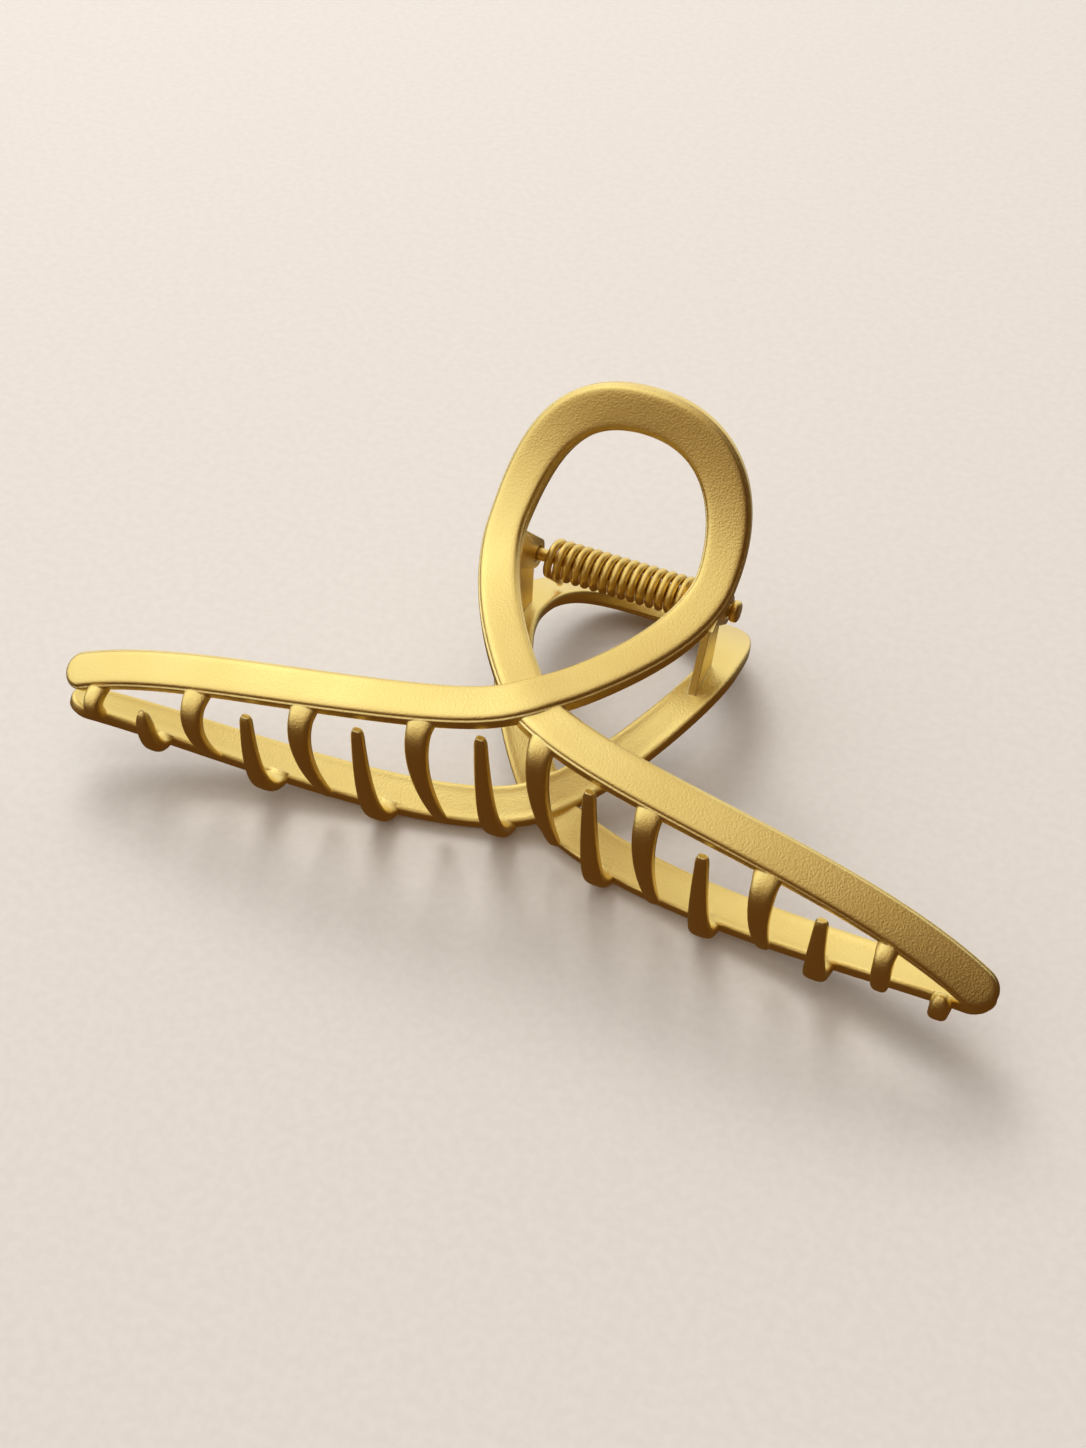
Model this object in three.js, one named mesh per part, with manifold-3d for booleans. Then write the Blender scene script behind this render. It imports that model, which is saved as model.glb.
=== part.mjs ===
// Ribbon-loop claw clip: two identical cast jaws, a headed hinge pin and a coiled torsion spring.
// Millimetres, +Z up. The clip lies on its rear jaw, closed, with its length along X and the loops at +Y.
// Each jaw is laid out in its own frame: x along the clip, u from the teeth to the loop, v outwards.
import * as THREE from 'three';
import { mergeGeometries, mergeVertices } from 'three/addons/utils/BufferGeometryUtils.js';
import { ConvexGeometry } from 'three/addons/geometries/ConvexGeometry.js';
import Module from 'manifold-3d';

const wasm = await Module();
wasm.setup();

// ---- overall sizes ----
const clipLength = 108.4;         // over both arm tips
const jawDepth = 11.7;            // outer face to the closing plane, at the crossing
const loopTop = 35.9;             // centreline of the loop's top, above the jaw's own zero
const loopHalfWidth = 12.5;       // centreline of the loop's side
const bandThickness = 1.9;
const bandWidthLoop = 5.2;        // at the loop's top
const bandWidthSide = 4.55;       // at the loop's sides
const bandWidthCross = 4.95;      // where the strands cross
const bandWidthTip = 4.4;         // at the arm tips
const rimBevel = 0.45;            // outer edges of the band
const innerBevel = 0.2;
const strandStep = 0.35;          // the upper strand stands up, the lower one dips, by this much
const armDrop = 8.632;            // the arms' ends lie this far below the jaw's zero
const armSweep = 1.3;             // the left arm's end curves up towards the loop by this much
const armSweepStart = 20;         // from here outwards
const fitGap = 0.3;               // between pieces that touch in the real clip

// ---- hinge ----
const pinDiameter = 1.5;
const pinHeight = 27.5;           // of the hinge line above the jaw's zero
const holeGap = 0.3;
const lugThickness = 0.9;
const lugRootThickness = 2.2;
const lugEyeWall = 0.7;           // metal left round the hole
const lugEndRadius = pinDiameter / 2 + holeGap + lugEyeWall;
const lugRootLow = 19.0;          // the lug's foot on the band, from here
const lugRootHigh = 26.2;         // to here
const lugPitch = lugThickness + fitGap;
const headOverlap = 0.25;         // of the head over the hole's edge, and of the rivet over the rod
const headDiameter = pinDiameter + 2 * holeGap + 2 * headOverlap;
const headThickness = 1.0;
const rivetDiameter = pinDiameter + 2 * headOverlap;
const rivetThickness = 0.5;

// ---- spring ----
const wireDiameter = 1.0;
const turnGap = 0.15;             // between one turn and the next
const coilPitch = wireDiameter + turnGap;
const coilOuter = 4.9;
const coilStart = -8.95;          // centre of the first turn
const bareRod = 1.1;              // rod left bare at the far end of the coil
const leftLegSpread = 1.8;        // each leg leans out along the rod by this much
const rightLegSpread = 1.3;
const legLean = Math.PI / 6;       // and leans this far from the jaw's depth towards the loops

// ---- teeth ----
const toothPitch = 13.1;
const toothShift = -3.1;          // so the two rows of teeth interleave
const toothRootWidth = 3.1;
const toothTipWidth = 1.45;
const toothRootDepth = 1.9;
const toothTipDepth = 1.0;
const toothBow = 3.1;             // how far the tooth swings out below the band's edge

const gold = new THREE.Color(0xdcb765);
const tipRadius = bandWidthTip / 2;
const armReach = clipLength / 2 - tipRadius;
const toothRow = 2 * (armReach - Math.abs(toothShift) - toothRootWidth / 2);
const toothCount = Math.floor(toothRow / toothPitch) + 1;

// ---- the band's centreline: loop top, loop side, crossing, arm tip ----
const crossing = new THREE.Vector2(0, 2.73);
const crossingDirection = new THREE.Vector2(Math.cos(0.74), Math.sin(0.74));
const armTip = new THREE.Vector2(-armReach, -armDrop);
const loopSide = new THREE.Vector2(loopHalfWidth, 24.7);
const loopRise = loopTop - loopSide.y;

const centreline = [
  new THREE.CubicBezierCurve(
    new THREE.Vector2(0, loopTop),
    new THREE.Vector2(0.79 * loopHalfWidth, loopTop),
    new THREE.Vector2(loopHalfWidth, loopSide.y + 0.62 * loopRise),
    loopSide
  ),
  new THREE.CubicBezierCurve(
    loopSide,
    new THREE.Vector2(loopHalfWidth, loopSide.y - 0.6 * loopRise),
    crossing.clone().addScaledVector(crossingDirection, 5.7),
    crossing
  ),
  new THREE.CubicBezierCurve(
    crossing,
    crossing.clone().addScaledVector(crossingDirection, -10.9),
    new THREE.Vector2(-0.713 * armReach, -0.44 * armDrop),
    armTip
  ),
];

// ---- the outer surface that the band lies on ----
// each term is a share of the jaw's depth, so that the arms still come down to the closing plane
const bodyShape = {
  rise: -0.1795,
  waist: -0.8205,
  flare: 0.8889,
  fall: -0.4701,
  curl: -0.0556,
  twist: 0.1966,
  pinch: -0.2222,
};
const bendReach = armReach / 1.04;

function plainHeight(x, u) {
  const X = x / bendReach;
  const U = u / 25;
  const across = bodyShape.rise * U + bodyShape.waist * U * U + bodyShape.flare * U ** 3;
  const along = bodyShape.fall * X * X + bodyShape.curl * X ** 4;
  const corner = bodyShape.twist * X * X * U + bodyShape.pinch * X * X * U * U;
  return jawDepth * (1 + across + along + corner);
}

// the last stretch of each arm bends in so that the two jaws meet at the tips
let tipDrop = 0;

function outerHeight(x, u) {
  return plainHeight(x, u) - tipDrop * Math.abs(2 * x / clipLength) ** 16;
}

function surfaceNormal(x, u) {
  const e = 0.01;
  const fx = (outerHeight(x + e, u) - outerHeight(x - e, u)) / (2 * e);
  const fu = (outerHeight(x, u + e) - outerHeight(x, u - e)) / (2 * e);
  return new THREE.Vector3(-fx, -fu, 1).normalize();
}

function innerHeight(x, u) {
  return outerHeight(x, u) - bandThickness / surfaceNormal(x, u).z;
}

for (let pass = 0; pass < 20; pass++) {
  tipDrop += 0.7 * (innerHeight(-clipLength / 2, armTip.y) - fitGap / 2 - 0.05);
}

function smooth(a, b, t) {
  return a + (b - a) * t;
}

// the left arm's sweep at x, and its slope there
function sweep(x) {
  const share = Math.max(0, (-x - armSweepStart) / (armReach - armSweepStart));
  return { rise: armSweep * share ** 2, slope: -2 * armSweep * share / (armReach - armSweepStart) };
}

// ---- solids ----
function solidOf(geometry) {
  const bare = new THREE.BufferGeometry();
  bare.setAttribute('position', geometry.getAttribute('position'));
  if (geometry.index) {
    bare.setIndex(geometry.index);
  }
  const merged = mergeVertices(bare, 1e-5);
  const mesh = new wasm.Mesh({
    numProp: 3,
    vertProperties: new Float32Array(merged.getAttribute('position').array),
    triVerts: new Uint32Array(merged.index.array),
  });
  return new wasm.Manifold(mesh);
}

function geometryOf(solid) {
  const mesh = solid.getMesh();
  const geometry = new THREE.BufferGeometry();
  geometry.setAttribute('position', new THREE.BufferAttribute(new Float32Array(mesh.vertProperties), 3));
  geometry.setIndex(new THREE.BufferAttribute(new Uint32Array(mesh.triVerts), 1));
  return geometry;
}

// a closed body through a row of rings, each with the same number of points
function skin(rings) {
  const n = rings[0].length;
  const position = [];
  const index = [];
  for (const ring of rings) {
    for (const point of ring) {
      position.push(point.x, point.y, point.z);
    }
  }
  for (let i = 0; i + 1 < rings.length; i++) {
    for (let j = 0; j < n; j++) {
      const a = i * n + j;
      const b = i * n + (j + 1) % n;
      index.push(a, b, b + n, a, b + n, a + n);
    }
  }
  const last = (rings.length - 1) * n;
  for (let j = 1; j + 1 < n; j++) {
    index.push(0, j + 1, j);
    index.push(last, last + j, last + j + 1);
  }
  const geometry = new THREE.BufferGeometry();
  geometry.setAttribute('position', new THREE.Float32BufferAttribute(position, 3));
  geometry.setIndex(index);
  return geometry;
}

function turnedOut(geometry) {
  const p = geometry.getAttribute('position');
  const tri = geometry.index.array;
  let volume = 0;
  const a = new THREE.Vector3();
  const b = new THREE.Vector3();
  const c = new THREE.Vector3();
  for (let i = 0; i < tri.length; i += 3) {
    a.fromBufferAttribute(p, tri[i]);
    b.fromBufferAttribute(p, tri[i + 1]);
    c.fromBufferAttribute(p, tri[i + 2]);
    volume += a.dot(b.clone().cross(c));
  }
  if (volume < 0) {
    for (let i = 0; i < tri.length; i += 3) {
      [tri[i + 1], tri[i + 2]] = [tri[i + 2], tri[i + 1]];
    }
  }
  return geometry;
}

// ---- one strand of the band, from the loop's top over the crossing to an arm tip ----
function bandSection(width) {
  const w = width / 2;
  const bevel = Math.min(rimBevel, w * 0.5);
  const inner = Math.min(innerBevel, w * 0.3);
  const floor = -bandThickness;
  return [
    [-w + bevel, 0], [w - bevel, 0], [w, -bevel], [w, floor + inner],
    [w - inner, floor], [-w + inner, floor], [-w, floor + inner], [-w, -bevel],
  ];
}

function strand(side, lift) {
  const stations = [];
  const steps = [12, 12, 18];
  const widths = [bandWidthLoop, bandWidthSide, bandWidthCross, bandWidthTip];
  centreline.forEach((curve, k) => {
    for (let i = k === 0 ? 0 : 1; i <= steps[k]; i++) {
      const t = i / steps[k];
      const point = curve.getPoint(t);
      const atTop = k === 0 && i === 0;
      const tangent = atTop ? new THREE.Vector2(1, 0) : curve.getTangent(t);
      const width = smooth(widths[k], widths[k + 1], t);
      stations.push({ point, tangent, width });
    }
  });
  const end = stations[stations.length - 1];
  for (const share of [0.38, 0.71, 0.92, 0.995]) {
    const point = end.point.clone().addScaledVector(end.tangent, tipRadius * share);
    stations.push({ point, tangent: end.tangent, width: bandWidthTip * Math.sqrt(1 - share * share) });
  }
  const rings = stations.map(({ point, tangent, width }) => {
    const x = side * point.x;
    const u = point.y + sweep(x).rise;
    const normal = surfaceNormal(x, u);
    const way = new THREE.Vector2(side * tangent.x, tangent.y + side * tangent.x * sweep(x).slope).normalize();
    const dx = 0.01 * way.x;
    const du = 0.01 * way.y;
    const slope = (outerHeight(x + dx, u + du) - outerHeight(x - dx, u - du)) / 0.02;
    const along = new THREE.Vector3(way.x, way.y, slope).normalize();
    const across = normal.clone().cross(along).normalize();
    const near = Math.exp(-point.distanceToSquared(crossing) / 12);
    const centre = new THREE.Vector3(x, u, outerHeight(x, u)).addScaledVector(normal, lift * near);
    return bandSection(width).map(([w, h]) => {
      return centre.clone().addScaledVector(across, w).addScaledVector(normal, h);
    });
  });
  return solidOf(turnedOut(skin(rings)));
}

// ---- a tooth: from inside the band's lower edge, out and round to the other jaw's edge ----
function lowerEdge(x) {
  const arm = centreline[2];
  const reach = Math.min(Math.abs(x), armReach);
  let low = 0;
  let high = 1;
  for (let i = 0; i < 40; i++) {
    const mid = (low + high) / 2;
    if (-arm.getPoint(mid).x < reach) {
      low = mid;
    } else {
      high = mid;
    }
  }
  const tangent = arm.getTangent(low);
  const half = smooth(bandWidthCross, bandWidthTip, low) / 2;
  return arm.getPoint(low).y + sweep(x).rise - half / Math.abs(tangent.x);
}

function tooth(x) {
  const edge = lowerEdge(x);
  const root = outerHeight(x, edge) - bandThickness / 2;
  const tip = fitGap + strandStep - innerHeight(x, edge);
  const reach = root - tip;
  const count = reach > 12 ? 8 : 6;
  const share = THREE.MathUtils.clamp(reach / 12, 0.75, 1);
  const bow = toothBow * share ** 2;
  const path = new THREE.CubicBezierCurve(
    new THREE.Vector2(edge + 1.0, root),
    new THREE.Vector2(edge - bow, root + 0.15),
    new THREE.Vector2(edge - bow, smooth(root, tip, 0.45)),
    new THREE.Vector2(edge - toothTipDepth / 2 - 0.1, tip)
  );
  const rings = [];
  for (let i = 0; i <= count; i++) {
    const t = i / count;
    const point = path.getPoint(t);
    const tangent = path.getTangent(t);
    const w = share * smooth(toothRootWidth, toothTipWidth, t ** 1.3) / 2;
    const h = smooth(toothRootDepth, toothTipDepth, t) / 2;
    const c = Math.min(w, h) * 0.45;
    const normal = new THREE.Vector2(-tangent.y, tangent.x);
    const outline = [
      [-w + c, -h], [w - c, -h], [w, -h + c], [w, h - c],
      [w - c, h], [-w + c, h], [-w, h - c], [-w, -h + c],
    ];
    rings.push(outline.map(([a, b]) => {
      return new THREE.Vector3(x + a, point.x + b * normal.x, point.y + b * normal.y);
    }));
  }
  return solidOf(turnedOut(skin(rings)));
}

// ---- a hinge lug: a tapered fin from the band's inner face to a round end about the pin ----
function lug(x) {
  const points = [];
  const half = lugThickness / 2;
  for (let i = 0; i < 16; i++) {
    const a = i * Math.PI / 8;
    const u = pinHeight + lugEndRadius * Math.cos(a);
    const v = lugEndRadius * Math.sin(a);
    points.push(new THREE.Vector3(x - half, u, v), new THREE.Vector3(x + half, u, v));
  }
  const foot = [lugRootLow, lugRootHigh].map((u) => [u, outerHeight(x, u) - bandThickness * 0.6]);
  for (const [u, v] of foot) {
    points.push(new THREE.Vector3(x - half, u, v), new THREE.Vector3(x + half, u, v));
  }
  // the foot thickens on the side away from the other jaw's lug, clear of the pin's head
  const web = [];
  for (const u of [pinHeight - 0.7 * lugEndRadius, pinHeight + 0.3 * lugEndRadius]) {
    web.push(new THREE.Vector3(x - half, u, headDiameter), new THREE.Vector3(x + half, u, headDiameter));
  }
  for (const [u, v] of foot) {
    web.push(new THREE.Vector3(x - half, u, v), new THREE.Vector3(x - half + lugRootThickness, u, v));
  }
  return solidOf(new ConvexGeometry(points)).add(solidOf(new ConvexGeometry(web)));
}

function rodAlongX(radius, x0, x1, sides) {
  const geometry = new THREE.CylinderGeometry(radius, radius, x1 - x0, sides);
  geometry.rotateZ(Math.PI / 2);
  geometry.translate((x0 + x1) / 2, pinHeight, 0);
  return geometry;
}

const outerLug = loopHalfWidth - 0.1;
const innerLug = -(outerLug - lugPitch);

function jaw() {
  let body = strand(1, strandStep).add(strand(-1, -strandStep));
  for (let i = 0; i < toothCount; i++) {
    body = body.add(tooth(toothShift + (i - (toothCount - 1) / 2) * toothPitch));
  }
  for (const x of [outerLug, innerLug]) {
    body = body.add(lug(x));
  }
  const hole = solidOf(rodAlongX(pinDiameter / 2 + holeGap, -clipLength, clipLength, 16));
  return body.subtract(hole).simplify(0.02);
}

// ---- hinge pin: head outside the front jaw's outer lug, riveted over outside the rear jaw's ----
function hingePin() {
  const r = pinDiameter / 2;
  const headFace = outerLug + lugThickness / 2 + fitGap * 0.8;
  const rivetFace = -headFace;
  const head = headDiameter / 2;
  const rivet = rivetDiameter / 2;
  const profile = [
    [0, rivetFace - rivetThickness],
    [rivet * 0.7, rivetFace - rivetThickness],
    [rivet, rivetFace - rivetThickness * 0.5],
    [rivet, rivetFace],
    [r, rivetFace],
    [r, headFace],
    [head, headFace],
    [head, headFace + headThickness * 0.6],
    [head * 0.72, headFace + headThickness],
    [0, headFace + headThickness],
  ];
  const geometry = new THREE.LatheGeometry(profile.map(([a, b]) => new THREE.Vector2(a, b)), 20);
  geometry.rotateZ(-Math.PI / 2);
  geometry.translate(0, pinHeight, 0);
  return geometryOf(solidOf(turnedOut(mergeVertices(geometry.deleteAttribute('uv').deleteAttribute('normal')))));
}

// ---- torsion spring: a close coil with a leg resting inside each jaw ----
function torsionSpring() {
  const mean = (coilOuter - wireDiameter) / 2;
  const coilEnd = outerLug - lugPitch - lugThickness / 2 - fitGap - bareRod;
  const turns = Math.round((coilEnd - coilStart) / coilPitch);
  const perTurn = 12;
  const wire = wireDiameter / 2;
  const centres = [];
  const legRest = (x, u) => innerHeight(x, u) - wire - fitGap;
  // both legs leave the coil below the rod, so that they lean towards the loops and press above it
  const leaveU = pinHeight - mean * Math.cos(legLean);
  const leaveV = mean * Math.sin(legLean);
  const legPoint = (x0, hand, spread, share) => {
    let reach = 0;
    for (let i = 0; i < 8; i++) {
      const rest = legRest(hand * (x0 + spread), leaveU + reach * Math.sin(legLean));
      reach = (rest - leaveV) / Math.cos(legLean);
    }
    const x = x0 + spread * share ** 1.3;
    const u = leaveU + share * reach * Math.sin(legLean);
    return new THREE.Vector3(x, u, hand * (leaveV + share * reach * Math.cos(legLean)));
  };
  const count = turns * perTurn + Math.round(2 * legLean / (2 * Math.PI) * perTurn);
  const endX = coilStart + count / perTurn * coilPitch;
  // the left leg drops to the rear jaw's band
  for (const share of [1, 0.5, 0.15]) {
    centres.push(legPoint(coilStart, -1, -leftLegSpread, share));
  }
  for (let i = 0; i <= count; i++) {
    const a = Math.PI - legLean + i / perTurn * 2 * Math.PI;
    const x = coilStart + i / perTurn * coilPitch;
    centres.push(new THREE.Vector3(x, pinHeight + mean * Math.cos(a), -mean * Math.sin(a)));
  }
  // and the right leg rises to the front jaw's
  for (const share of [0.15, 0.5, 1]) {
    centres.push(legPoint(endX, 1, rightLegSpread, share));
  }
  const rings = centres.map((centre, i) => {
    const before = centres[Math.max(i - 1, 0)];
    const after = centres[Math.min(i + 1, centres.length - 1)];
    const tangent = after.clone().sub(before).normalize();
    const axis = new THREE.Vector3(1, 0, 0);
    const side = axis.clone().addScaledVector(tangent, -axis.dot(tangent)).normalize();
    const out = tangent.clone().cross(side);
    const ring = [];
    for (let j = 0; j < 6; j++) {
      const a = j * Math.PI / 3 + Math.PI / 6;
      ring.push(centre.clone()
        .addScaledVector(side, wire * Math.cos(a))
        .addScaledVector(out, wire * Math.sin(a)));
    }
    return ring;
  });
  return turnedOut(skin(rings));
}

// ---- put together, and laid down on the rear jaw ----
const front = geometryOf(jaw());
const rear = front.clone();
rear.rotateY(Math.PI);
const pin = hingePin();
const spring = torsionSpring();

// the rear jaw stands on its loop's top and on its lower edge: find that line in the (u, v) plane
function restingTilt(geometry) {
  const p = geometry.getAttribute('position');
  let loop = new THREE.Vector2(0, 0);
  for (let i = 0; i < p.count; i++) {
    if (p.getY(i) > pinHeight && p.getZ(i) < loop.y) {
      loop = new THREE.Vector2(p.getY(i), p.getZ(i));
    }
  }
  let tilt = Infinity;
  for (let i = 0; i < p.count; i++) {
    if (p.getY(i) < pinHeight - 10) {
      tilt = Math.min(tilt, Math.atan2(p.getZ(i) - loop.y, loop.x - p.getY(i)));
    }
  }
  return tilt;
}

const tilt = restingTilt(rear);
for (const geometry of [front, rear, pin, spring]) {
  geometry.rotateX(tilt);
}
const box = new THREE.Box3();
for (const geometry of [front, rear, pin, spring]) {
  geometry.computeBoundingBox();
  box.union(geometry.boundingBox);
}
const centre = box.getCenter(new THREE.Vector3());

const group = new THREE.Group();
group.name = 'claw_clip';

function place(name, geometry, roughness) {
  geometry.translate(-centre.x, -centre.y, -box.min.z);
  geometry.computeVertexNormals();
  const material = new THREE.MeshStandardMaterial({ color: gold, roughness, metalness: 1 });
  const mesh = new THREE.Mesh(geometry, material);
  mesh.name = name;
  group.add(mesh);
}

place('front_jaw', front, 0.38);
place('rear_jaw', rear, 0.38);
place('hinge_pin', pin, 0.32);
place('torsion_spring', spring, 0.3);

export default group;
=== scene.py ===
import math

import bpy
from mathutils import Matrix, Vector


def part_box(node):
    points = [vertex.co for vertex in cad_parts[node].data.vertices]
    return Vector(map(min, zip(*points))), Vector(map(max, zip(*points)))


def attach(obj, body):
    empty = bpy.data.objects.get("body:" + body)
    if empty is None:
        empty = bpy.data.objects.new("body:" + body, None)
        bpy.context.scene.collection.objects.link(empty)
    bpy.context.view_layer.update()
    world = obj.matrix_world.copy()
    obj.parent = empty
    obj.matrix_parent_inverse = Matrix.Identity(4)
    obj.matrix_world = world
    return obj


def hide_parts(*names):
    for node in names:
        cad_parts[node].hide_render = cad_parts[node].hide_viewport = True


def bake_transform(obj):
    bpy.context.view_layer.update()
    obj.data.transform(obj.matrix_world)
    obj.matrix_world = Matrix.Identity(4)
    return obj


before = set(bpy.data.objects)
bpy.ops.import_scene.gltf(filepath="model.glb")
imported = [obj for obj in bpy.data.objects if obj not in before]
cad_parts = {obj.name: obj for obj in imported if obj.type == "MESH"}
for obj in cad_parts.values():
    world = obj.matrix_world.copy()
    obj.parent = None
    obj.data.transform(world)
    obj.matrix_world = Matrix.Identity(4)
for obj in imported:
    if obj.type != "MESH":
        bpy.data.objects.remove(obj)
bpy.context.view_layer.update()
bpy.ops.object.select_all(action="DESELECT")

# ---------------------------------------------------------------------------
# The camera. It looks down on the clip from the front and a little from the
# right, with the jaws closed and the loops pointing away.
# ---------------------------------------------------------------------------
bpy.ops.object.camera_add(location=(0.05711, -0.14564, 0.16459))
camera = bpy.context.object
camera.name = "camera"
looking = Vector((-0.27510, 0.64310, -0.71466)).normalized()
camera_up = Vector((-0.29427, 0.65135, 0.69939))
camera_right = looking.cross(camera_up).normalized()
camera_up = camera_right.cross(looking).normalized()
turn = Matrix((camera_right, camera_up, -looking)).transposed()
camera.matrix_world = Matrix.Translation(camera.location) @ turn.to_4x4()
camera.data.lens = 47.70
camera.data.sensor_width = 36.0
camera.data.clip_start = 0.005
camera.data.clip_end = 20.0
bpy.context.scene.camera = camera

# ---------------------------------------------------------------------------
# The jaws. Each is one zinc casting: a flat ribbon that runs up one arm, over
# itself, round the finger loop and down into the other arm, with a row of
# bowed teeth on its lower edge and two hinge lugs behind the loop. Both come
# from one mould, are tumbled smooth and plated in satin gold.
# All sizes are in millimetres: x along the clip, u from teeth to loop, v out.
# ---------------------------------------------------------------------------
clip_length = 108.4
jaw_depth = 11.7
band_thickness = 1.9
width_loop, width_side, width_cross, width_tip = 5.2, 4.55, 4.95, 4.4
shoulder_width = 0.35
strand_step = 0.35
loop_top = 35.9
loop_side = Vector((12.5, 24.7))
crossing = Vector((0.0, 2.73))
tip_radius = width_tip / 2
arm_reach = clip_length / 2 - tip_radius
arm_drop = 8.632
arm_sweep, sweep_start = 1.3, 20.0
arm_tip = Vector((-arm_reach, -arm_drop))
crossing_way = Vector((math.cos(0.74), math.sin(0.74)))
loop_rise = loop_top - loop_side.y
pin_height = 27.5
fit_gap = 0.3

ribbon_line = [
    (Vector((0.0, loop_top)), Vector((0.79 * loop_side.x, loop_top)),
     Vector((loop_side.x, loop_side.y + 0.62 * loop_rise)), loop_side),
    (loop_side, Vector((loop_side.x, loop_side.y - 0.6 * loop_rise)),
     crossing + 5.7 * crossing_way, crossing),
    (crossing, crossing - 10.9 * crossing_way,
     Vector((-0.713 * arm_reach, -0.44 * arm_drop)), arm_tip),
]


def on_curve(curve, t):
    a, b, c, d = curve
    s = 1 - t
    return a * s ** 3 + b * 3 * s * s * t + c * 3 * s * t * t + d * t ** 3


def along_curve(curve, t):
    a, b, c, d = curve
    s = 1 - t
    return ((b - a) * s * s + (c - b) * 2 * s * t + (d - c) * t * t).normalized()


def between(a, b, t):
    return a + (b - a) * t


# the jaw's outer surface: waisted behind the crossing, flared out at the loop
tip_drop = 0.0


def outer_height(x, u):
    p, q = x / 50, u / 25
    height = jaw_depth - 2.1 * q - 9.6 * q * q + 10.4 * q ** 3
    height += -5.5 * p * p - 0.65 * p ** 4 + 2.3 * p * p * q - 2.6 * p * p * q * q
    return height - tip_drop * abs(2 * x / clip_length) ** 16


def outward(x, u):
    e = 0.01
    fx = (outer_height(x + e, u) - outer_height(x - e, u)) / (2 * e)
    fu = (outer_height(x, u + e) - outer_height(x, u - e)) / (2 * e)
    return Vector((-fx, -fu, 1)).normalized()


def inner_height(x, u):
    return outer_height(x, u) - band_thickness / outward(x, u).z


# the arms' ends bend in until the two jaws all but meet
for _ in range(20):
    tip_drop += 0.7 * (inner_height(-clip_length / 2, arm_tip.y) - fit_gap / 2 - 0.05)


def sweep(x):
    """The left arm's end curves up towards the loop: its rise at x, and the slope of that."""
    share = max(0.0, (-x - sweep_start) / (arm_reach - sweep_start))
    return arm_sweep * share ** 2, -2 * arm_sweep * share / (arm_reach - sweep_start)


# half of the ribbon's section, from the middle of its face round to the middle of its
# back: (distance in from the edge, height). None is the middle line itself.
ribbon_section = [
    (None, 0.0), (1.75, 0.0), (1.15, -0.005), (0.8, -0.02), (0.58, -0.055), (0.44, -0.11),
    (0.34, -0.19), (0.28, -0.29), (0.25, -0.38), (0.22, -0.44), (0.14, -0.46), (0.06, -0.50),
    (0.015, -0.58), (0.0, -0.72), (0.0, -1.15), (0.01, -1.5), (0.06, -1.7), (0.16, -1.83),
    (0.3, -1.89), (0.5, -1.9), (0.68, -1.88), (0.9, -1.84), (1.15, -1.81), (1.6, -1.8),
    (None, -1.8),
]


def ribbon_frame(point, tangent, side, lift):
    x = side * point.x
    rise, lean = sweep(x)
    u = point.y + rise
    normal = outward(x, u)
    way = Vector((side * tangent.x, tangent.y + side * tangent.x * lean)).normalized()
    slope = (outer_height(x + 0.01 * way.x, u + 0.01 * way.y)
             - outer_height(x - 0.01 * way.x, u - 0.01 * way.y)) / 0.02
    along = Vector((way.x, way.y, slope)).normalized()
    across = normal.cross(along).normalized()
    near = math.exp(-(point - crossing).length_squared / 12)
    centre = Vector((x, u, outer_height(x, u))) + normal * (lift * near)
    return centre, across, normal


def finish_mesh(piece, smooth_angle=None):
    bpy.ops.object.select_all(action="DESELECT")
    piece.select_set(True)
    bpy.context.view_layer.objects.active = piece
    bpy.ops.object.mode_set(mode="EDIT")
    bpy.ops.mesh.select_all(action="SELECT")
    bpy.ops.mesh.remove_doubles(threshold=0.0005)
    bpy.ops.mesh.normals_make_consistent(inside=False)
    bpy.ops.mesh.select_all(action="DESELECT")
    bpy.ops.object.mode_set(mode="OBJECT")
    if smooth_angle:
        bpy.ops.object.shade_smooth_by_angle(angle=math.radians(smooth_angle))


def cap_open_ends(piece):
    bpy.ops.object.mode_set(mode="EDIT")
    bpy.ops.mesh.select_all(action="DESELECT")
    bpy.ops.mesh.select_mode(type="EDGE")
    bpy.ops.mesh.select_non_manifold(extend=False)
    bpy.ops.mesh.edge_face_add()
    bpy.ops.mesh.select_mode(type="VERT")
    bpy.ops.mesh.select_all(action="SELECT")
    bpy.ops.mesh.normals_make_consistent(inside=False)
    bpy.ops.mesh.select_all(action="DESELECT")
    bpy.ops.object.mode_set(mode="OBJECT")


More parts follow.
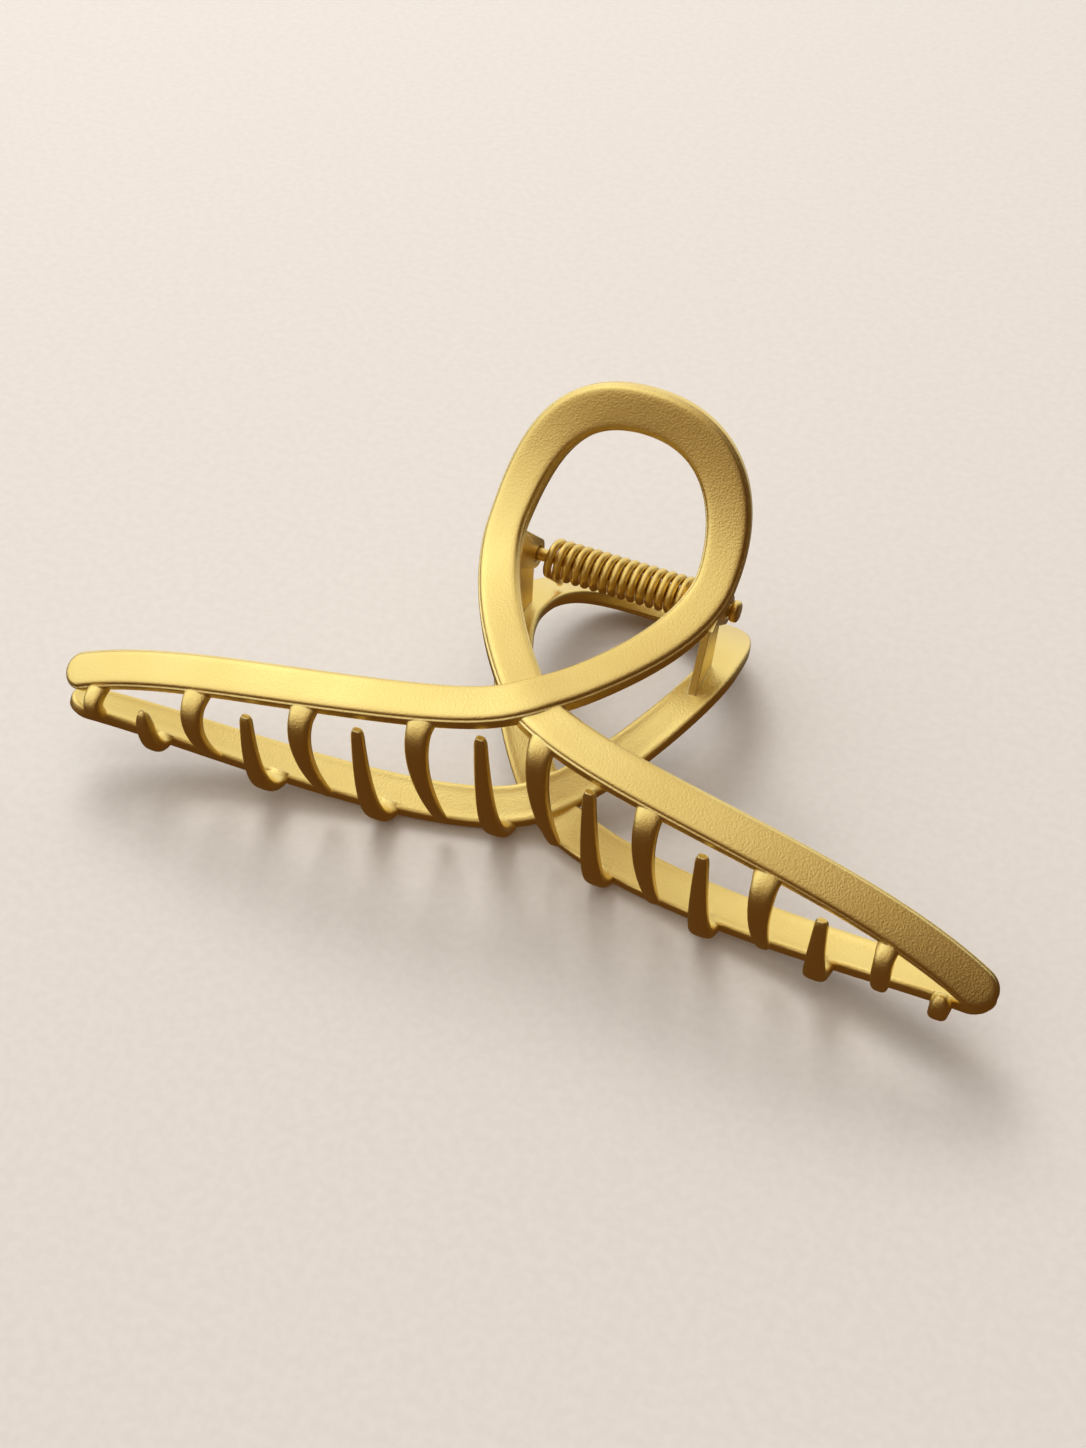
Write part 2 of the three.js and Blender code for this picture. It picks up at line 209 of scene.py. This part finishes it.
def cut_ribbon(side, lift):
    """One half of the ribbon: a grid rolled up round the line from the loop's top to an arm's tip."""
    rows = []
    widths = [width_loop, width_side, width_cross, width_tip]
    for k, steps in enumerate([34, 34, 62]):
        for i in range(0 if k == 0 else 1, steps + 1):
            t = i / steps
            tangent = Vector((1.0, 0.0)) if k + i == 0 else along_curve(ribbon_line[k], t)
            width = between(widths[k], widths[k + 1], t)
            if k == 0:
                width += shoulder_width * math.sin(math.pi * t)
            rows.append((on_curve(ribbon_line[k], t), tangent, width, 0))
    end, tangent, width, _ = rows[-1]
    # round the arm's end the section swings a quarter turn each way and meets itself
    for k in range(1, 11):
        rows.append((end, tangent, width, k * math.pi / 20))
    ring = ribbon_section + [None] * (len(ribbon_section) - 2)
    n = len(ring)
    bpy.ops.mesh.primitive_grid_add(x_subdivisions=n, y_subdivisions=len(rows) - 1, size=1)
    strip = bpy.context.object
    for j, (point, tangent, width, swing) in enumerate(rows):
        for i in range(n + 1):
            k = i % n
            hand = 1 if k < len(ribbon_section) else -1
            inset, height = ribbon_section[k if hand > 0 else 2 * (len(ribbon_section) - 1) - k]
            a = 0.0 if inset is None else max(width / 2 - inset, 0)
            place = point + tangent * (a * math.sin(swing))
            centre, across, normal = ribbon_frame(place, tangent, side, lift)
            co = centre + across * (hand * a * math.cos(swing)) + normal * height
            strip.data.vertices[j * (n + 1) + i].co = co
    finish_mesh(strip)
    cap_open_ends(strip)
    return strip


def join_solid(body, part, operation="UNION"):
    bpy.ops.object.select_all(action="DESELECT")
    bpy.context.view_layer.objects.active = body
    body.select_set(True)
    cut = body.modifiers.new("cast", "BOOLEAN")
    cut.operation = operation
    cut.solver = "MANIFOLD"
    cut.object = part
    bpy.ops.object.modifier_apply(modifier="cast")
    bpy.data.objects.remove(part)


casting = cut_ribbon(1, strand_step)
casting.name = "front_jaw_casting"
join_solid(casting, cut_ribbon(-1, -strand_step))

# the teeth: bowed bars with a rounded face, thick shoulders where they leave the
# ribbon and blunt, flattened tips. The one nearest each arm's end is a short stub.
tooth_pitch, tooth_shift = 13.1, -3.1
tooth_bow = 3.1
tooth_root_width, tooth_tip_width, stub_tip_width = 2.85, 1.4, 2.5
tooth_rings, tooth_sides = 56, 40

bpy.ops.mesh.primitive_cylinder_add(vertices=tooth_sides, radius=1, depth=1, end_fill_type="NGON")
tooth_blank = bpy.context.object
tooth_blank.name = "tooth_blank"
bpy.ops.object.mode_set(mode="EDIT")
bpy.ops.mesh.select_mode(type="EDGE")
bpy.ops.mesh.select_all(action="DESELECT")
bpy.ops.object.mode_set(mode="OBJECT")
for edge in tooth_blank.data.edges:
    a, b = (tooth_blank.data.vertices[i].co for i in edge.vertices)
    edge.select = abs(a.z - b.z) > 0.5
bpy.ops.object.mode_set(mode="EDIT")
bpy.ops.mesh.subdivide(number_cuts=tooth_rings - 1)
bpy.ops.mesh.select_mode(type="VERT")
bpy.ops.object.mode_set(mode="OBJECT")


def lower_edge(x):
    reach = min(abs(x), arm_reach)
    low, high = 0.0, 1.0
    for _ in range(40):
        middle = (low + high) / 2
        if -on_curve(ribbon_line[2], middle).x < reach:
            low = middle
        else:
            high = middle
    half = between(width_cross, width_tip, low) / 2
    slant = abs(along_curve(ribbon_line[2], low).x)
    return on_curve(ribbon_line[2], low).y + sweep(x)[0] - half / slant


def grow_tooth(x):
    edge = lower_edge(x)
    root = outer_height(x, edge) - band_thickness / 2
    tip = fit_gap + strand_step - inner_height(x, edge)
    share = min(max((root - tip) / 12, 0.75), 1)
    stub = share < 0.8
    bow = tooth_bow * share ** 2
    path = (Vector((edge + 1.0, root - 0.12)), Vector((edge - bow, root + 0.1)),
            Vector((edge - bow, between(root, tip, 0.45))), Vector((edge - 0.6, tip)))
    bpy.ops.object.select_all(action="DESELECT")
    tooth_blank.select_set(True)
    bpy.context.view_layer.objects.active = tooth_blank
    bpy.ops.object.duplicate(linked=False)
    tooth = bpy.context.object
    for vertex in tooth.data.vertices:
        t = vertex.co.z + 0.5
        angle = math.atan2(vertex.co.y, vertex.co.x)
        point, tangent = on_curve(path, t), along_curve(path, t)
        w = share * between(tooth_root_width, stub_tip_width if stub else tooth_tip_width, t ** 1.5) / 2
        h = between(1.5, 1.6 if stub else 0.95, t) / 2 + 0.12 * math.sin(math.pi * t)
        below = max(edge + 0.1 - point.x, 0.0) + max(root - point.y, 0.0)
        shoulder = math.exp(-(below / 0.8) ** 2)
        w *= 1 + 0.10 * math.exp(-(below / 0.9) ** 2)
        fullness = 2 / between(3.0, 2.3, shoulder)
        c, s = math.cos(angle), math.sin(angle)
        a = w * math.copysign(abs(c) ** fullness, c)
        b = h * math.copysign(abs(s) ** fullness, s)
        left = 1 - t
        rounding = 0.26 if stub else 0.035
        if left < rounding:
            shrink = math.sqrt(max(1 - (1 - left / rounding) ** 2, 0.0))
            shrink = between(0.2 if stub else 0.72, 1, shrink)
            a *= shrink
            b *= shrink
        outwards = Vector((-tangent.y, tangent.x))
        vertex.co = (x + a, point.x + b * outwards.x, point.y + b * outwards.y)
    finish_mesh(tooth)
    return tooth


fittings = [grow_tooth(tooth_shift + (number - 3.5) * tooth_pitch) for number in range(8)]
bpy.data.objects.remove(tooth_blank)

# the hinge lugs: flat fins with a round eye, thicker towards the foot on one side
lug_thickness, lug_end_radius = 0.9, 1.75
foot_sink = 0.6 * band_thickness + 0.05
bore_radius = 1.05
outer_lug = loop_side.x - 0.1
inner_lug = -(outer_lug - lug_thickness - fit_gap)


def add_bar(x, u, v, thickness, depth=0.02):
    bpy.ops.mesh.primitive_cube_add(size=1, location=(x, u, v), scale=(thickness, depth, 0.02))


def stretch_skin_over(piece):
    bpy.ops.mesh.select_all(action="SELECT")
    bpy.ops.mesh.convex_hull()
    bpy.ops.mesh.select_all(action="DESELECT")
    bpy.ops.object.mode_set(mode="OBJECT")
    finish_mesh(piece)


def raise_lug(x, root_thickness, foot):
    """A fin from the eye to its foot on the band's back, and a web that thickens its root."""
    bpy.ops.mesh.primitive_cylinder_add(vertices=48, radius=lug_end_radius, depth=lug_thickness,
                                        location=(x, pin_height, 0), rotation=(0, math.pi / 2, 0))
    fin = bpy.context.object
    bpy.ops.object.transform_apply(location=True, rotation=True, scale=True)
    bpy.ops.object.mode_set(mode="EDIT")
    for u in foot:
        add_bar(x, u, outer_height(x, u) - foot_sink, lug_thickness)
    stretch_skin_over(fin)
    add_bar(x, pin_height - 0.9, 2.6, lug_thickness, 0.7)
    web = bpy.context.object
    bpy.ops.object.transform_apply(location=True, rotation=True, scale=True)
    bpy.ops.object.mode_set(mode="EDIT")
    for u in foot:
        add_bar(x + (root_thickness - lug_thickness) / 2, u, outer_height(x, u) - foot_sink, root_thickness)
    stretch_skin_over(web)
    join_solid(fin, web)
    return fin


fittings.append(raise_lug(outer_lug, 2.2, (19.0, 26.2)))
fittings.append(raise_lug(inner_lug, 1.2, (19.0, 24.4)))
bpy.ops.object.select_all(action="DESELECT")
for fitting in fittings:
    fitting.select_set(True)
bpy.context.view_layer.objects.active = fittings[0]
bpy.ops.object.join()
join_solid(casting, fittings[0])
bpy.ops.mesh.primitive_cylinder_add(vertices=48, radius=bore_radius, depth=60, location=(0, pin_height, 0),
                                    rotation=(0, math.pi / 2, 0))
drill = bpy.context.object
bpy.ops.object.transform_apply(location=True, rotation=True, scale=True)
join_solid(casting, drill, "DIFFERENCE")
finish_mesh(casting, 32)


# satin gold: fine matt grain from tumbling, slow ripples from the mould, edges rubbed smoother
# and painted paler as a highlight, and painted shade, darker and redder, in the hollows
def node_group(name, outputs, inputs):
    group = bpy.data.node_groups.new(name, "ShaderNodeTree")
    for label, kind, value in inputs:
        socket = group.interface.new_socket(label, in_out="INPUT", socket_type=kind)
        socket.default_value = value
    for label, kind in outputs:
        group.interface.new_socket(label, in_out="OUTPUT", socket_type=kind)
    return group, group.nodes.new("NodeGroupInput"), group.nodes.new("NodeGroupOutput")


def noise(nodes, links, source, scale, detail, roughness=0.5):
    texture = nodes.new("ShaderNodeTexNoise")
    texture.inputs["Scale"].default_value = scale
    texture.inputs["Detail"].default_value = detail
    texture.inputs["Roughness"].default_value = roughness
    links.new(source, texture.inputs["Vector"])
    return texture.outputs["Fac"]


def ranged(nodes, links, source, low, high, to_low=0.0, to_high=1.0):
    span = nodes.new("ShaderNodeMapRange")
    span.interpolation_type = "SMOOTHSTEP"
    sockets = ("From Min", "From Max", "To Min", "To Max")
    for socket, value in zip(sockets, (low, high, to_low, to_high)):
        span.inputs[socket].default_value = value
    links.new(source, span.inputs["Value"])
    return span.outputs["Result"]


# masks for an edge sheen (partly smoother wear, partly painted highlight) and for painted shade in the
# hollows
edge_sheen_and_hollow_shade, put_in, put_out = node_group(
    "edge_sheen_and_hollow_shade", [("Edge", "NodeSocketFloat"), ("Hollow_shade", "NodeSocketFloat")],
    [("Radius", "NodeSocketFloat", 0.0003), ("Reach", "NodeSocketFloat", 0.004)])
nodes, links = edge_sheen_and_hollow_shade.nodes, edge_sheen_and_hollow_shade.links
rounded = nodes.new("ShaderNodeBevel")
rounded.samples = 4
links.new(put_in.outputs["Radius"], rounded.inputs["Radius"])
facing = nodes.new("ShaderNodeNewGeometry")
match = nodes.new("ShaderNodeVectorMath")
match.operation = "DOT_PRODUCT"
links.new(rounded.outputs["Normal"], match.inputs[0])
links.new(facing.outputs["Normal"], match.inputs[1])
# ambient occlusion: picks out hollows and creases for painted shade
hollow_shade_ao = nodes.new("ShaderNodeAmbientOcclusion")
hollow_shade_ao.samples = 6
links.new(put_in.outputs["Reach"], hollow_shade_ao.inputs["Distance"])
links.new(ranged(nodes, links, match.outputs["Value"], 0.999, 0.86), put_out.inputs["Edge"])
links.new(ranged(nodes, links, hollow_shade_ao.outputs["AO"], 0.75, 0.15), put_out.inputs["Hollow_shade"])

satin_grain, put_in, put_out = node_group(
    "satin_grain",
    [("Height", "NodeSocketFloat"), ("Mottle", "NodeSocketFloat"), ("Speck", "NodeSocketFloat")],
    [("Grain", "NodeSocketFloat", 5200.0), ("Ripple", "NodeSocketFloat", 420.0)])
nodes, links = satin_grain.nodes, satin_grain.links
place = nodes.new("ShaderNodeTexCoord").outputs["Object"]
fine = nodes.new("ShaderNodeTexNoise")
fine.inputs["Detail"].default_value = 3.0
fine.inputs["Roughness"].default_value = 0.6
links.new(place, fine.inputs["Vector"])
links.new(put_in.outputs["Grain"], fine.inputs["Scale"])
slow = nodes.new("ShaderNodeTexNoise")
slow.inputs["Detail"].default_value = 2.0
slow.inputs["Roughness"].default_value = 0.45
links.new(place, slow.inputs["Vector"])
links.new(put_in.outputs["Ripple"], slow.inputs["Scale"])
total = nodes.new("ShaderNodeMath")
total.operation = "MULTIPLY_ADD"
links.new(slow.outputs["Fac"], total.inputs[0])
total.inputs[1].default_value = 0.3
links.new(fine.outputs["Fac"], total.inputs[2])
pits = noise(nodes, links, place, 1900.0, 1.0)
links.new(total.outputs["Value"], put_out.inputs["Height"])
links.new(noise(nodes, links, place, 95.0, 3.0), put_out.inputs["Mottle"])
links.new(ranged(nodes, links, pits, 0.70, 0.80), put_out.inputs["Speck"])


def plated(name, pale, deep, edge_wear_highlight_colour, smooth, rough, grain, bump):
    material = bpy.data.materials.new(name)
    material.use_nodes = True
    nodes, links = material.node_tree.nodes, material.node_tree.links
    shader = nodes["Principled BSDF"]
    shader.inputs["Metallic"].default_value = 1.0
    texture = nodes.new("ShaderNodeGroup")
    texture.node_tree = satin_grain
    texture.inputs["Grain"].default_value = grain
    edge_sheen_and_shade = nodes.new("ShaderNodeGroup")
    edge_sheen_and_shade.node_tree = edge_sheen_and_hollow_shade

    def mixed(amount, first, second):
        blend = nodes.new("ShaderNodeMix")
        blend.data_type = "RGBA"
        links.new(amount, blend.inputs["Factor"])
        for socket, value in ((blend.inputs["A"], first), (blend.inputs["B"], second)):
            if isinstance(value, bpy.types.NodeSocket):
                links.new(value, socket)
            else:
                socket.default_value = (*value, 1.0)
        return blend.outputs["Result"]

    def ranged_here(source, low, high, to_low, to_high):
        return ranged(nodes, links, source, low, high, to_low, to_high)

    mottle = ranged_here(texture.outputs["Mottle"], 0.3, 0.7, 0.0, 0.3)
    colour = mixed(mottle, pale, deep)
    colour = mixed(ranged_here(texture.outputs["Speck"], 0.0, 1.0, 0.0, 0.35), colour, deep)
    # painted shade: the hollows are mixed towards the darker gold
    colour = mixed(ranged_here(edge_sheen_and_shade.outputs["Hollow_shade"], 0.0, 1.0, 0.0, 0.6), colour, deep)
    # edges: the paler colour is a painted highlight; the smoother roughness below is wear from tumbling
    colour = mixed(ranged_here(edge_sheen_and_shade.outputs["Edge"], 0.0, 1.0, 0.0, 0.8), colour, edge_wear_highlight_colour)
    links.new(colour, shader.inputs["Base Color"])
    roughness = nodes.new("ShaderNodeMix")
    roughness.data_type = "FLOAT"
    links.new(edge_sheen_and_shade.outputs["Edge"], roughness.inputs["Factor"])
    uneven = ranged_here(texture.outputs["Mottle"], 0.3, 0.7, rough - 0.03, rough + 0.03)
    links.new(uneven, roughness.inputs["A"])
    roughness.inputs["B"].default_value = smooth
    links.new(roughness.outputs["Result"], shader.inputs["Roughness"])
    soften = nodes.new("ShaderNodeBevel")
    soften.samples = 4
    soften.inputs["Radius"].default_value = 0.0002
    relief = nodes.new("ShaderNodeBump")
    relief.inputs["Strength"].default_value = bump
    relief.inputs["Distance"].default_value = 0.00005
    links.new(texture.outputs["Height"], relief.inputs["Height"])
    links.new(soften.outputs["Normal"], relief.inputs["Normal"])
    links.new(relief.outputs["Normal"], shader.inputs["Normal"])
    return material


cast_gold = plated("satin_gold_casting", (0.965, 0.765, 0.275), (0.90, 0.665, 0.20), (0.99, 0.87, 0.46),
                   0.22, 0.34, 4300.0, 1.0)

# the casting laid down where it belongs: the clip leans back by the closed clip's tilt
tilt = math.radians(13.481)
pin_low, pin_high = (Vector(corner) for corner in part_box("hinge_pin"))
hinge = (pin_low + pin_high) / 2
lean = Matrix.Rotation(tilt, 4, "X")
lay_down = (Matrix.Translation((0, hinge.y, hinge.z)) @ lean @ Matrix.Scale(0.001, 4)
            @ Matrix.Translation((0, -pin_height, 0)))

casting.data.materials.clear()
casting.data.materials.append(cast_gold)
bpy.ops.object.select_all(action="DESELECT")
casting.select_set(True)
bpy.context.view_layer.objects.active = casting
bpy.ops.object.duplicate(linked=False)
rear_casting = bpy.context.object
rear_casting.name = "rear_jaw_casting"
casting.data.transform(lay_down)
rear_casting.data.transform(lay_down @ Matrix.Rotation(math.pi, 4, "Y"))
for piece, body, node in ((casting, "front", "front_jaw"), (rear_casting, "rear", "rear_jaw")):
    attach(piece, body)
    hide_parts(node)

# ---------------------------------------------------------------------------
# The hinge pin: a drawn rod through the four lugs, with a round-edged head at
# the right and the other end riveted over, plated with the rest.
# ---------------------------------------------------------------------------
rod_radius, head_radius, head_thickness = 0.75, 1.3, 1.0
rivet_radius, rivet_thickness = 1.0, 0.5
head_face = outer_lug + lug_thickness / 2 + 0.8 * fit_gap


def turned_disc(radius, x0, x1, rounding, steps):
    middle = ((x0 + x1) / 2, pin_height, 0)
    bpy.ops.mesh.primitive_cylinder_add(vertices=56, radius=radius, depth=x1 - x0,
                                        location=middle, rotation=(0, math.pi / 2, 0))
    disc = bpy.context.object
    bpy.ops.object.transform_apply(location=True, rotation=True, scale=True)
    if rounding:
        edge_round = disc.modifiers.new("edge", "BEVEL")
        edge_round.width = rounding
        edge_round.segments = steps
        edge_round.limit_method = "ANGLE"
        edge_round.angle_limit = math.radians(60)
        bpy.ops.object.modifier_apply(modifier="edge")
    return disc


pin = turned_disc(rod_radius, -head_face - 0.1, head_face + 0.1, 0, 0)
pin.name = "hinge_pin_turned"
join_solid(pin, turned_disc(head_radius, head_face, head_face + head_thickness, 0.42, 7))
join_solid(pin, turned_disc(rivet_radius, -head_face - rivet_thickness, -head_face, 0.2, 5))
finish_mesh(pin, 40)
pin.data.transform(lay_down)
pin_gold = plated("satin_gold_pin", (0.95, 0.73, 0.245), (0.86, 0.60, 0.16), (0.985, 0.82, 0.40),
                  0.24, 0.33, 3400.0, 0.4)
pin.data.materials.clear()
pin.data.materials.append(pin_gold)
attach(pin, "rear")
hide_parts("hinge_pin")

# ---------------------------------------------------------------------------
# The spring: hard-drawn round wire wound close round the pin, sixteen turns,
# with its left end pressing on the rear jaw and its right end on the front jaw.
# ---------------------------------------------------------------------------
wire_radius, coil_radius, coil_pitch = 0.5, 1.95, 1.15
coil_start, turns = -8.95, 16
left_spread, right_spread = 1.8, 1.3
leg_lean = math.pi / 6
leg_steps, turn_steps, wire_sides = 12, 36, 14
coil_end = coil_start + (turns + 1 / 6) * coil_pitch


def leg_rest(x, u):
    return inner_height(x, u) - wire_radius - fit_gap


def leg_point(x0, hand, spread, share):
    reach = 0.0
    for _ in range(8):
        rest = leg_rest(hand * (x0 + spread), leave_u + reach * math.sin(leg_lean))
        reach = (rest - leave_v) / math.cos(leg_lean)
    return Vector((x0 + spread * share ** 2, leave_u + share * reach * math.sin(leg_lean),
                   hand * (leave_v + share * reach * math.cos(leg_lean))))


# both legs leave the coil below the rod, lean towards the loops and press above the rod
leave_u = pin_height - coil_radius * math.cos(leg_lean)
leave_v = coil_radius * math.sin(leg_lean)
wire_path = [leg_point(coil_start, -1, -left_spread, 1 - i / leg_steps) for i in range(leg_steps)]
for i in range(turns * turn_steps + turn_steps // 6 + 1):
    a = math.pi - leg_lean + i / turn_steps * 2 * math.pi
    wire_path.append(Vector((coil_start + i / turn_steps * coil_pitch,
                             pin_height + coil_radius * math.cos(a), -coil_radius * math.sin(a))))
for i in range(1, leg_steps + 1):
    wire_path.append(leg_point(coil_end, 1, right_spread, i / leg_steps))

bpy.ops.mesh.primitive_grid_add(x_subdivisions=wire_sides, y_subdivisions=len(wire_path) - 1, size=1)
wire = bpy.context.object
wire.name = "torsion_spring_wire"
for j, centre in enumerate(wire_path):
    before, after = wire_path[max(j - 1, 0)], wire_path[min(j + 1, len(wire_path) - 1)]
    tangent = (after - before).normalized()
    side = (Vector((1, 0, 0)) - tangent * tangent.x).normalized()
    out = tangent.cross(side)
    for i in range(wire_sides + 1):
        a = i * 2 * math.pi / wire_sides
        place = centre + (side * math.cos(a) + out * math.sin(a)) * wire_radius
        wire.data.vertices[j * (wire_sides + 1) + i].co = place
finish_mesh(wire)
cap_open_ends(wire)
finish_mesh(wire, 40)
wire.data.transform(lay_down)
spring_gold = plated("satin_gold_spring", (0.94, 0.71, 0.23), (0.84, 0.58, 0.15), (0.985, 0.81, 0.38),
                     0.24, 0.32, 2600.0, 0.5)
wire.data.materials.clear()
wire.data.materials.append(spring_gold)
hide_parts("torsion_spring")
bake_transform(wire)

# ---------------------------------------------------------------------------
# The table the clip lies on: a plain pale sheet of board, and soft light from
# a wide panel above and to the left.
# ---------------------------------------------------------------------------
bpy.ops.mesh.primitive_plane_add(size=3.0, location=(0, 0, 0))
table = bpy.context.object
table.name = "table"
table.visible_glossy = False
board = bpy.data.materials.new("pale_board")
board.use_nodes = True
nodes, links = board.node_tree.nodes, board.node_tree.links
board_shader = nodes["Principled BSDF"]
board_shader.inputs["Roughness"].default_value = 0.8
board_place = nodes.new("ShaderNodeTexCoord").outputs["Object"]
fibre = ranged(nodes, links, noise(nodes, links, board_place, 900.0, 4.0), 0.3, 0.7, 0.0, 1.0)
tone = nodes.new("ShaderNodeMix")
tone.data_type = "RGBA"
links.new(fibre, tone.inputs["Factor"])
tone.inputs["A"].default_value = (0.72, 0.69, 0.655, 1)
tone.inputs["B"].default_value = (0.75, 0.722, 0.688, 1)
links.new(tone.outputs["Result"], board_shader.inputs["Base Color"])
table.data.materials.append(board)

bpy.context.scene.view_settings.view_transform = "Standard"
room = bpy.data.worlds.new("soft_room")
bpy.context.scene.world = room
room.use_nodes = True
nodes, links = room.node_tree.nodes, room.node_tree.links
backdrop = nodes["Background"]
way = nodes.new("ShaderNodeTexCoord").outputs["Generated"]
panel = nodes.new("ShaderNodeVectorMath")
panel.operation = "DOT_PRODUCT"
links.new(way, panel.inputs[0])
panel.inputs[1].default_value = Vector((-0.75, 0.0, 0.66)).normalized()
glow = nodes.new("ShaderNodeValToRGB")
links.new(panel.outputs["Value"], glow.inputs["Fac"])


def fill_ramp(ramp, stops):
    while len(ramp.elements) < len(stops):
        ramp.elements.new(0.5)
    for element, (where, _) in zip(ramp.elements, stops):
        element.position = where
    for element, (_, colour) in zip(ramp.elements, stops):
        element.color = (*colour, 1)


fill_ramp(glow.color_ramp, [
    (0.0, (0.07, 0.034, 0.013)), (0.2, (0.25, 0.155, 0.095)), (0.35, (0.40, 0.275, 0.18)),
    (0.5, (0.60, 0.48, 0.37)), (0.6, (0.78, 0.69, 0.60)), (0.7, (0.91, 0.86, 0.81)),
    (0.85, (1.02, 1.0, 0.985)), (1.0, (1.12, 1.11, 1.10))])
height = nodes.new("ShaderNodeSeparateXYZ")
links.new(way, height.inputs[0])
under = ranged(nodes, links, height.outputs["Z"], 0.02, -0.12)
room_tone = nodes.new("ShaderNodeMix")
room_tone.data_type = "RGBA"
links.new(under, room_tone.inputs["Factor"])
links.new(glow.outputs["Color"], room_tone.inputs["A"])
room_tone.inputs["B"].default_value = (0.10, 0.045, 0.014, 1)
behind = nodes.new("ShaderNodeVectorMath")
behind.operation = "DOT_PRODUCT"
links.new(way, behind.inputs[0])
behind.inputs[1].default_value = Vector((-0.17, 0.96, 0.20)).normalized()
back_glow = nodes.new("ShaderNodeValToRGB")
links.new(behind.outputs["Value"], back_glow.inputs["Fac"])
fill_ramp(back_glow.color_ramp, [(0.45, (0, 0, 0)), (0.7, (0.42, 0.38, 0.33)), (0.9, (0.95, 0.92, 0.88))])
both = nodes.new("ShaderNodeMix")
both.data_type = "RGBA"
both.blend_type = "LIGHTEN"
both.inputs["Factor"].default_value = 1.0
links.new(room_tone.outputs["Result"], both.inputs["A"])
links.new(back_glow.outputs["Color"], both.inputs["B"])
links.new(both.outputs["Result"], backdrop.inputs["Color"])
backdrop.inputs["Strength"].default_value = 1.0


def soft_panel(name, place, size, power, tint, shines=True):
    bpy.ops.object.light_add(type="AREA", location=place)
    lamp = bpy.context.object
    lamp.name = name
    lamp.data.shape = "RECTANGLE"
    lamp.data.size, lamp.data.size_y = size
    lamp.data.energy = power
    lamp.data.color = tint
    lamp.visible_glossy = shines
    lamp.rotation_euler = (-Vector(place)).to_track_quat("-Z", "Y").to_euler()
    return lamp


soft_panel("key_panel", (-0.30, 0.34, 0.55), (0.30, 0.30), 1.9, (1.0, 0.97, 0.93), False)
soft_panel("key_shine", (-0.42, 0.20, 0.50), (0.25, 0.25), 0.16, (1.0, 0.97, 0.95))
soft_panel("fill_panel", (0.1, -0.2, 0.9), (0.9, 0.9), 1.7, (1.0, 0.98, 0.96), False)
